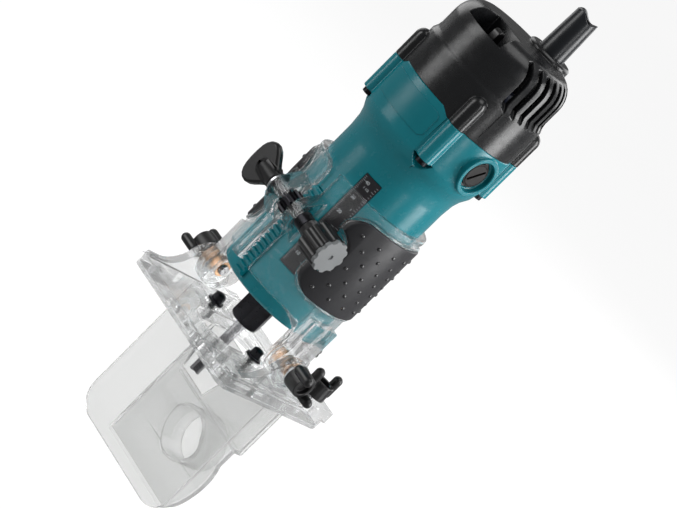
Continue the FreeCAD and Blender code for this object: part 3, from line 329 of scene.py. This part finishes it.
def refine(node, material, bevel):
    """Smooth copy of a CAD node with merged flats and rounded edges, which stands for the node."""
    source = frame["nodes"][node]
    work = bmesh.new()
    work.from_mesh(source.data)
    bmesh.ops.remove_doubles(work, verts=work.verts, dist=MERGE_GAP)
    bmesh.ops.dissolve_limit(work, angle_limit=math.radians(FLAT_DEG), verts=work.verts,
                             edges=work.edges)
    mesh = bpy.data.meshes.new(node + "_finish")
    work.to_mesh(mesh)
    work.free()
    smooth_by_angle(mesh, SHARP_DEG)
    piece = add_piece(node + "_finish", mesh, material, body_of(node))
    rounding = piece.modifiers.new("rounding", "BEVEL")
    rounding.width = bevel * MM
    rounding.segments = 2
    rounding.limit_method = "ANGLE"
    rounding.angle_limit = math.radians(SHARP_DEG)
    rounding.use_clamp_overlap = False
    rounding.miter_outer = "MITER_ARC"
    weighted = piece.modifiers.new("even_shading", "WEIGHTED_NORMAL")
    weighted.keep_sharp = True
    weighted.weight = 100
    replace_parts(piece, node)
    return piece


# ---------------------------------------------------------------- CAD nodes with their finish

ROUNDING_MM = {
    "motor_housing": 0.45, "top_cover": 0.3, "base_body": 0.5, "base_plate": 0.45,
    "sole_plate": 0.3, "dust_nozzle": 0.3, "depth_knob": 0.4, "knob_cap": 0.3,
    "clamp_wing_nut": 1.5, "tilt_bolt_left": 0.35, "tilt_bolt_right": 0.35,
    "guide_clamp_bolt": 0.35, "rear_thumb_screw": 0.35, "switch_lever": 0.35,
    "brush_caps": 0.25, "collet_nut": 0.25, "nameplate": 0.12, "nozzle_screws": 0.15,
    "cover_screws": 0.15,
}
# Made anew further down; lowered where they touch the plate; kept within their own box.
REPLACED = ("pivot_inserts", "cord_sleeve", "grip_right", "grip_left")
SEATED, SEAT_GAP, SEAT_HEIGHT = ("sole_plate", "dust_nozzle"), 0.05 * MM, 2 * MM
OVERSHOOTING = ("base_plate", "clamp_wing_nut")
TILT_AXLE = Vector((0, 0, 22.7 * MM))
GUIDE_BOLT = Vector((37.5 * MM, 35.5 * MM, 0))
SHANK_REACH, TILT_SHANK_END, GUIDE_SHANK_END = 3.1 * MM, 47 * MM, 13.3 * MM


def metal_shank(piece, material, axis, centre, reach):
    """Gives the faces near a bolt's own axis the metal of its shank."""
    piece.data.materials.append(material.material)
    across = [index for index in range(3) if index != axis]
    for face in piece.data.polygons:
        gap = [face.center[index] - centre[index] for index in across]
        if math.hypot(*gap) < SHANK_REACH and abs(face.center[axis]) < reach:
            face.material_index = 1


def sink_top(piece):
    """Lowers a face that touches the clear plate above it, so that the two never coincide."""
    for vertex in piece.data.vertices:
        if SEAT_HEIGHT - SEAT_GAP < vertex.co.z < SEAT_HEIGHT + SEAT_GAP:
            vertex.co.z -= SEAT_GAP


def keep_inside(piece, node):
    """Makes the rounding permanent and pulls corners that overshoot back to the node's box."""
    low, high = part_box(node)
    graph = bpy.context.evaluated_depsgraph_get()
    mesh = bpy.data.meshes.new_from_object(
        piece.evaluated_get(graph), preserve_all_data_layers=True, depsgraph=graph)
    piece.modifiers.clear()
    piece.data = mesh
    for vertex in mesh.vertices:
        vertex.co = [min(max(value, least), most)
                     for value, least, most in zip(vertex.co, low, high)]


def finish_nodes(materials):
    pieces = {}
    for node, thing in frame["nodes"].items():
        material = materials[MATERIAL_OF_NODE.get(node, MATERIAL_OF_SLOT[slot_of(node)])]
        if node in REPLACED:
            continue
        if node in ROUNDING_MM:
            pieces[node] = refine(node, material, ROUNDING_MM[node])
            continue
        thing.data.materials.clear()
        thing.data.materials.append(material.material)
    for node in SEATED:
        sink_top(pieces[node])
    for node in OVERSHOOTING:
        keep_inside(pieces[node], node)
    for node in ("tilt_bolt_left", "tilt_bolt_right"):
        metal_shank(pieces[node], materials["thread"], 0, TILT_AXLE, TILT_SHANK_END)
    metal_shank(pieces["guide_clamp_bolt"], materials["thread_up"], 2, GUIDE_BOLT, GUIDE_SHANK_END)


# ---------------------------------------------------------------- small parts made here

def round_barrel(degrees, radius, height):
    """Point on a cylinder about the spindle; the angle runs from -Y towards +X."""
    angle = math.radians(degrees)
    return Vector((radius * math.sin(angle), -radius * math.cos(angle), height))


def mesh_of(name, points, faces, sharp=40):
    mesh = bpy.data.meshes.new(name)
    mesh.from_pydata(points, [], faces)
    mesh.validate()
    smooth_by_angle(mesh, sharp)
    return mesh


def lathe(name, profile, axis_point, axis, steps=96, knurl=None, sharp=35):
    """Closed ring turned about an axis from (along, radius) points, with an optional knurl."""
    along_axis = axis.normalized()
    side = along_axis.orthogonal().normalized()
    other = along_axis.cross(side)
    points, faces = [], []
    count = len(profile)
    for step in range(steps):
        angle = 2 * math.pi * step / steps
        out = side * math.cos(angle) + other * math.sin(angle)
        for along, radius in profile:
            cut = knurl(angle, along, radius) if knurl else 0
            points.append(axis_point + along_axis * along + out * (radius - cut))
    for step in range(steps):
        here, there = step * count, (step + 1) % steps * count
        for index in range(count):
            after = (index + 1) % count
            faces.append((here + index, here + after, there + after, there + index))
    return mesh_of(name, points, faces, sharp)


# Rubber grips: nubs and the clear rim round them.
GRIP_RADIUS = 38 * MM
GRIP_LOW, GRIP_HIGH, GRIP_HALF = 57 * MM, 107 * MM, 28.2 * MM
GRIP_CORNER, GRIP_NOTCH = 9 * MM, 11 * MM
NOTCH_ALONG, NOTCH_HEIGHT = -32.2 * MM, 85 * MM
GRIP_SEAT = 36.05 * MM
# Cross-section of the pad's edge as (inset, lift) in millimetres, and the cuts that let it bend.
GRIP_SECTION, GRIP_CUTS = ((0, 0), (0, 1.3), (0.1, 1.6), (0.35, 1.85), (0.75, 1.95)), 48
NUB_RADIUS, NUB_HEIGHT, NUB_SINK = 1.15 * MM, 0.8 * MM, 0.1 * MM
NUB_COLUMNS, NUB_PITCH = 9, 8.9
LONG_ROWS, SHORT_ROWS = (63.2, 75.3, 87.5, 99.7), (69.4, 81.4, 93.3)


def add_dome(points, faces, centre, outward):
    """Small dome sunk a little into the grip."""
    side = outward.orthogonal().normalized()
    other = outward.cross(side)
    rings, steps = 4, 16
    start = len(points)
    for ring in range(rings):
        lift = math.radians(90 * ring / rings)
        reach, rise = NUB_RADIUS * math.cos(lift), NUB_HEIGHT * math.sin(lift) - NUB_SINK
        for step in range(steps):
            angle = 2 * math.pi * step / steps
            points.append(centre + side * (reach * math.cos(angle))
                          + other * (reach * math.sin(angle)) + outward * rise)
    points.append(centre + outward * (NUB_HEIGHT - NUB_SINK))
    for ring in range(rings - 1):
        for step in range(steps):
            here, there = start + ring * steps + step, start + ring * steps + (step + 1) % steps
            faces.append((here, there, there + steps, here + steps))
    last, top = start + (rings - 1) * steps, len(points) - 1
    for step in range(steps):
        faces.append((last + step, last + (step + 1) % steps, top))


def add_nubs(side, material):
    points, faces = [], []
    first = 90 - NUB_PITCH * (NUB_COLUMNS - 1) / 2
    for column in range(NUB_COLUMNS):
        degrees = side * (first + NUB_PITCH * column)
        for height in LONG_ROWS if column % 2 == 0 else SHORT_ROWS:
            centre = round_barrel(degrees, GRIP_RADIUS, height * MM)
            to_notch = math.hypot(centre.y - NOTCH_ALONG, centre.z - NOTCH_HEIGHT)
            if to_notch > GRIP_NOTCH + NUB_RADIUS:
                add_dome(points, faces, centre, Vector((centre.x, centre.y, 0)).normalized())
    name = "grip_nubs_right" if side > 0 else "grip_nubs_left"
    add_piece(name, mesh_of(name, points, faces, 60), material, "base")


def arc(centre, radius, start, end, steps):
    return [(centre[0] + radius * math.cos(math.radians(start + (end - start) * step / steps)),
             centre[1] + radius * math.sin(math.radians(start + (end - start) * step / steps)))
            for step in range(steps + 1)]


def grip_outline(gap):
    """Outline of a grip seen from its side as (along Y, height), grown by the gap."""
    half, low, high = GRIP_HALF + gap, GRIP_LOW - gap, GRIP_HIGH + gap
    corner, notch = GRIP_CORNER + gap, GRIP_NOTCH - gap
    rise = math.sqrt(notch ** 2 - (-half - NOTCH_ALONG) ** 2)
    edge = math.degrees(math.atan2(rise, -half - NOTCH_ALONG))
    line = arc((-half + corner, low + corner), corner, 180, 270, 8)
    line += arc((half - corner, low + corner), corner, 270, 360, 8)
    line += arc((half - corner, high - corner), corner, 0, 90, 8)
    line += arc((-half + corner, high - corner), corner, 90, 180, 8)
    line += arc((NOTCH_ALONG, NOTCH_HEIGHT), notch, edge, -edge, 14)
    return line


def add_grip(side, material):
    """Rubber pad with a rounded rim, bent round the base."""
    work = bmesh.new()
    rings = []
    for inset, lift in GRIP_SECTION:
        line = grip_outline(-inset * MM)
        rings.append([work.verts.new((lift * MM, along, height)) for along, height in line])
    for here, there in zip(rings, rings[1:]):
        for index in range(len(here)):
            after = (index + 1) % len(here)
            work.faces.new((here[index], here[after], there[after], there[index]))
    work.faces.new(rings[-1])
    work.faces.new(list(reversed(rings[0])))
    for cut in range(1, GRIP_CUTS):
        along = GRIP_HALF * (2 * cut / GRIP_CUTS - 1)
        everything = work.verts[:] + work.edges[:] + work.faces[:]
        bmesh.ops.bisect_plane(work, geom=everything, dist=0.001 * MM, plane_co=(0, along, 0),
                               plane_no=(0, 1, 0))
    for vertex in work.verts:
        radius = GRIP_SEAT + vertex.co.x
        vertex.co.x = side * math.sqrt(radius ** 2 - vertex.co.y ** 2)
    bmesh.ops.recalc_face_normals(work, faces=work.faces)
    node = "grip_right" if side > 0 else "grip_left"
    mesh = bpy.data.meshes.new(node + "_finish")
    work.to_mesh(mesh)
    work.free()
    smooth_by_angle(mesh, 38)
    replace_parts(add_piece(node + "_finish", mesh, material, "base"), node)


def dense(line, step):
    """Closed line with points added so that none are further apart than the step."""
    out = []
    for index, start in enumerate(line):
        end = line[(index + 1) % len(line)]
        count = max(1, math.ceil(math.dist(start, end) / step))
        for part in range(count):
            out.append(tuple(a + (b - a) * part / count for a, b in zip(start, end)))
    return out


def bead(name, points, radius, material, body, closed=True):
    """Round bead swept along a line."""
    curve = bpy.data.curves.new(name, "CURVE")
    curve.dimensions = "3D"
    curve.bevel_depth = radius
    curve.bevel_resolution = 3
    curve.use_fill_caps = True
    spline = curve.splines.new("POLY")
    spline.points.add(len(points) - 1)
    for point, place in zip(spline.points, points):
        point.co = (*place, 1)
    spline.use_cyclic_u = closed
    holder = bpy.data.objects.new(name + "_line", curve)
    mesh = bpy.data.meshes.new_from_object(holder)
    bpy.data.objects.remove(holder)
    smooth_by_angle(mesh, 60)
    return add_piece(name, mesh, material, body)


RIM_RADIUS, RIM_GAP, RIM_STEP, RIM_BEAD = 36.5 * MM, 0.9 * MM, 1.5 * MM, 0.85 * MM


def add_grip_rim(side, material):
    points = [Vector((side * math.sqrt(RIM_RADIUS ** 2 - along ** 2), along, height))
              for along, height in dense(grip_outline(RIM_GAP), RIM_STEP)]
    name = "grip_rim_right" if side > 0 else "grip_rim_left"
    bead(name, points, RIM_BEAD, material, "base")


# Height scale: printed ticks and numbers on the strip set into the barrel.
PRINT_RADIUS = 32.475 * MM
SCALE_MIDDLE_DEG, SCALE_HALF_DEG = 29.5, 8.7
SCALE_ZERO = 79.5 * MM
INCH = 25.4 * MM
MILLIMETRES, SIXTEENTHS = range(-17, 43), range(-10, 27)


def wrapped(across, height):
    """Point on the strip; across runs in metres from the strip's middle line."""
    degrees = SCALE_MIDDLE_DEG + math.degrees(across / PRINT_RADIUS)
    return round_barrel(degrees, PRINT_RADIUS, height)


def add_tick(points, faces, start, length, height, thick=0.16 * MM):
    steps = 3
    base = len(points)
    for step in range(steps + 1):
        across = start + length * step / steps
        points.append(wrapped(across, height - thick / 2))
        points.append(wrapped(across, height + thick / 2))
    for step in range(steps):
        first = base + 2 * step
        faces.append((first, first + 2, first + 3, first + 1))


def add_number(points, faces, text, size, across, height):
    """Upright figures laid on the strip, centred on a height."""
    curve = bpy.data.curves.new("figures", "FONT")
    curve.body = text
    curve.size = size
    curve.offset = 0.03 * MM
    curve.align_y = "CENTER"
    curve.resolution_u = 3
    holder = bpy.data.objects.new("figures", curve)
    mesh = bpy.data.meshes.new_from_object(holder)
    base = len(points)
    points.extend(wrapped(across + vertex.co.x, height + vertex.co.y) for vertex in mesh.vertices)
    faces.extend([base + index for index in face.vertices] for face in mesh.polygons)
    bpy.data.objects.remove(holder)


def add_scale_print(material):
    points, faces = [], []
    edge = math.radians(SCALE_HALF_DEG) * PRINT_RADIUS
    for millimetre in MILLIMETRES:
        length = 1.9 if millimetre % 10 == 0 else 1.5 if millimetre % 5 == 0 else 1.1
        add_tick(points, faces, -edge, length * MM, SCALE_ZERO + millimetre * MM)
    for sixteenth in SIXTEENTHS:
        length = 1.9 if sixteenth % 4 == 0 else 1.2
        add_tick(points, faces, edge - length * MM, length * MM, SCALE_ZERO + sixteenth * INCH / 16)
    for number in range(-10, 50, 10):
        add_number(points, faces, str(abs(number)), 2.5 * MM, -edge + 2.2 * MM,
                   SCALE_ZERO + number * MM)
    for halves, text in ((0, "0"), (1, "1/2"), (2, "1"), (3, "1 1/2")):
        width = 0.62 * MM * len(text)
        add_number(points, faces, text, 1.7 * MM, edge - 2.4 * MM - width * 1.35,
                   SCALE_ZERO + halves * INCH / 2 - 0.9 * MM)
    mesh = mesh_of("scale_print", points, faces)
    add_piece("scale_print", mesh, material, "motor")


# Tilt graduations on the rounded top of the left ear.
EAR_RADIUS, EAR_CENTRE, EAR_OUTSIDE = 15.7 * MM, 14 * MM, 46 * MM
MARK_DEG, MARK_HALF, MARK_INSET, MARK_LIFT = 7, 0.16 * MM, 0.5, 0.03 * MM


def add_tilt_marks(material):
    points, faces = [], []
    radius = EAR_RADIUS + MARK_LIFT
    half = MARK_HALF / EAR_RADIUS
    for index in range(-8, 9):
        angle = math.radians(index * MARK_DEG)
        length = 4.0 if index % 4 == 0 else 2.8
        base = len(points)
        for across in (-EAR_OUTSIDE + MARK_INSET * MM, -EAR_OUTSIDE + (MARK_INSET + length) * MM):
            for turn in (angle - half, angle + half):
                rise = EAR_CENTRE + radius * math.cos(turn)
                points.append(Vector((across, radius * math.sin(turn), rise)))
        faces.append((base, base + 1, base + 3, base + 2))
    mesh = mesh_of("tilt_marks", points, faces)
    add_piece("tilt_marks", mesh, material, "plate")


# Knurled brass inserts in the base's legs, with a plain groove round their middle.
RIDGES, RIDGE_SLANT, RIDGE_CUT = 17, 2.4, 0.34 * MM
GROOVE_HALF, GROOVE_CUT = 0.6, 0.45 * MM


def add_inserts(material):
    outer, bore, start, end = 4.95, 2.97, 33.05, 40.55
    profile = [(start, bore), (start, outer - 0.4), (start + 0.4, outer)]
    bands = 18
    for step in range(1, bands):
        profile.append((start + 0.4 + (end - start - 0.8) * step / bands, outer))
    profile += [(end - 0.4, outer), (end, outer - 0.4), (end, bore)]
    middle = (start + end) / 2

    def knurl(angle, along, radius):
        offset = abs(along) / MM - middle
        if radius < (outer - 0.1) * MM:
            return 0
        if abs(offset) < GROOVE_HALF:
            return GROOVE_CUT
        slant = offset * RIDGE_SLANT
        ridge = max(abs(math.sin(RIDGES * angle + slant)), abs(math.sin(RIDGES * angle - slant)))
        return RIDGE_CUT * ridge ** 2

    profile = [(along * MM, radius * MM) for along, radius in profile]
    for side in (-1, 1):
        name = "brass_insert_right" if side > 0 else "brass_insert_left"
        mesh = lathe(name, profile, TILT_AXLE, Vector((side, 0, 0)), 136, knurl, 28)
        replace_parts(add_piece(name, mesh, material, "base"), "pivot_inserts")


# Rubber cord sleeve, drawn with its upper end broken off in a curved line. The break is at its
# highest this share of the top's radius to the left of the middle.
BREAK_REACH, BREAK_HALF_DEPTH, BREAK_SHIFT = 10 * MM, 1.65 * MM, 0.58
SLEEVE_BORE, SLEEVE_TOP_RADIUS = 3.6 * MM, 7 * MM


def break_line(share):
    """Depth of the curved break below the sleeve's top; share runs from -1 to 1 across it."""
    return BREAK_HALF_DEPTH * (1 - math.cos(math.pi * (share + BREAK_SHIFT)))


def add_cord_sleeve(material):
    low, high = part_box("cord_sleeve")
    centre = Vector(((low.x + high.x) / 2, (low.y + high.y) / 2, low.z))
    length = high.z - low.z
    collar = [(0, 9.0), (0.4, 9.4), (2.5, 9.4), (3, 9.0), (3.1, 8.4), (3.6, 8.1)]
    profile = [(0, SLEEVE_BORE)] + [(along * MM, radius * MM) for along, radius in collar]
    rings = 34
    for step in range(1, rings + 1):
        along = 3.6 * MM + (length - 4.0 * MM) * step / rings
        profile.append((along, (8.1 - 1.1 * step / rings) * MM))
    profile += [(length, 6.4 * MM), (length - 0.4 * MM, SLEEVE_BORE)]
    mesh = lathe("cord_sleeve_finish", profile, centre, Vector((0, 0, 1)), 96)
    across = Vector((math.cos(AZIMUTH), math.sin(AZIMUTH), 0))
    for vertex in mesh.vertices:
        weight = max(0, 1 - (high.z - vertex.co.z) / BREAK_REACH)
        vertex.co.z -= weight * break_line((vertex.co - centre).dot(across) / SLEEVE_TOP_RADIUS)
    piece = add_piece("cord_sleeve_finish", mesh, material, "motor")
    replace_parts(piece, "cord_sleeve")


# ---------------------------------------------------------------- stage and light

FLOOR_GAP, FLOOR_HALF = 4 * MM, 9.0
# Brightness of the surroundings where they are looked at or through, and in reflections.
FLOOR_GLOW, WORLD_GLOW = (0.9, 0.12), (1.0, 0.16)
LIT_MIDDLE = Vector((0, 0, 0.1))
# Light passes this many walls of clear plastic at most before it reaches the eye.
CLEAR_WALLS = 32


def by_ray(tree, seen, reflected):
    """Number that is one value where a surface is looked at or through, another in reflections."""
    path = tree.nodes.new("ShaderNodeLightPath")
    either = tree.nodes.new("ShaderNodeMath")
    either.operation = "MAXIMUM"
    tree.links.new(path.outputs["Is Diffuse Ray"], either.inputs[0])
    tree.links.new(path.outputs["Is Reflection Ray"], either.inputs[1])
    level = tree.nodes.new("ShaderNodeMapRange")
    level.inputs["To Min"].default_value = seen
    level.inputs["To Max"].default_value = reflected
    tree.links.new(either.outputs["Value"], level.inputs["Value"])
    return level.outputs["Result"]


def add_stage():
    low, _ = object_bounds()
    mesh = bpy.data.meshes.new("floor")
    corners = [(across * FLOOR_HALF, along * FLOOR_HALF, 0)
               for across, along in ((-1, -1), (1, -1), (1, 1), (-1, 1))]
    mesh.from_pydata(corners, [], [(0, 1, 2, 3)])
    floor = bpy.data.objects.new("floor", mesh)
    floor.location.z = low[2] - FLOOR_GAP
    bpy.context.scene.collection.objects.link(floor)
    paper = Recipe("floor_paper")
    paper.colour(paper.noise(3), (0.14, 0.14, 0.14), (0.16, 0.16, 0.16))
    paper.set(Roughness=0.9, Specular_IOR_Level=0.1, Emission_Color=(1, 1, 1, 1))
    glow = by_ray(paper.tree, *FLOOR_GLOW)
    paper.tree.links.new(glow, paper.shader.inputs["Emission Strength"])
    mesh.materials.append(paper.material)


def softbox(name, turn, rise, distance, size, radiance):
    """Area light round the router's middle; turn is from the camera's side towards its right."""
    into, right, _ = view_axes()
    level = Vector((-into.x, -into.y, 0)).normalized()
    angle, lift = math.radians(turn), math.radians(rise)
    out = level * math.cos(angle) + right * math.sin(angle)
    place = LIT_MIDDLE + (out * math.cos(lift) + Vector((0, 0, math.sin(lift)))) * distance
    data = bpy.data.lights.new(name, "AREA")
    data.shape = "RECTANGLE"
    data.size, data.size_y = size
    data.energy = radiance * math.pi * size[0] * size[1]
    lamp = bpy.data.objects.new(name, data)
    lamp.location = place
    lamp.rotation_euler = (LIT_MIDDLE - place).to_track_quat("-Z", "Y").to_euler()
    bpy.context.scene.collection.objects.link(lamp)


def add_light():
    softbox("key", 90, 12, 1.05, (0.42, 1.1), 9.0)
    softbox("left", -72, 10, 1.25, (0.5, 1.1), 4.0)
    softbox("strip", 46, 12, 1.3, (0.12, 1.2), 8.0)
    softbox("top", 20, 78, 1.5, (1.0, 1.0), 2.2)
    softbox("back_right", 150, 20, 1.3, (0.8, 1.0), 2.0)
    softbox("back_left", -140, 20, 1.3, (0.8, 1.0), 1.6)
    world = bpy.data.worlds.new("world")
    bpy.context.scene.world = world
    world.use_nodes = True
    tree = world.node_tree
    backdrop = tree.nodes["Background"]
    backdrop.inputs["Color"].default_value = (1, 1, 1, 1)
    tree.links.new(by_ray(tree, *WORLD_GLOW), backdrop.inputs["Strength"])
    scene = bpy.context.scene
    scene.view_settings.view_transform = "Standard"
    scene.cycles.max_bounces = CLEAR_WALLS
    scene.cycles.transmission_bounces = CLEAR_WALLS
    scene.cycles.transparent_max_bounces = CLEAR_WALLS
    scene.cycles.glossy_bounces = 8
    scene.cycles.diffuse_bounces = 4


# ---------------------------------------------------------------- build

add_camera()
finishes = make_materials()
finish_nodes(finishes)
for hand in (-1, 1):
    add_grip(hand, finishes["rubber"])
    add_nubs(hand, finishes["nub"])
    add_grip_rim(hand, finishes["clear"])
add_scale_print(finishes["paint"])
add_tilt_marks(finishes["mark"])
add_inserts(finishes["brass"])
add_cord_sleeve(finishes["sleeve"])
add_stage()
add_light()
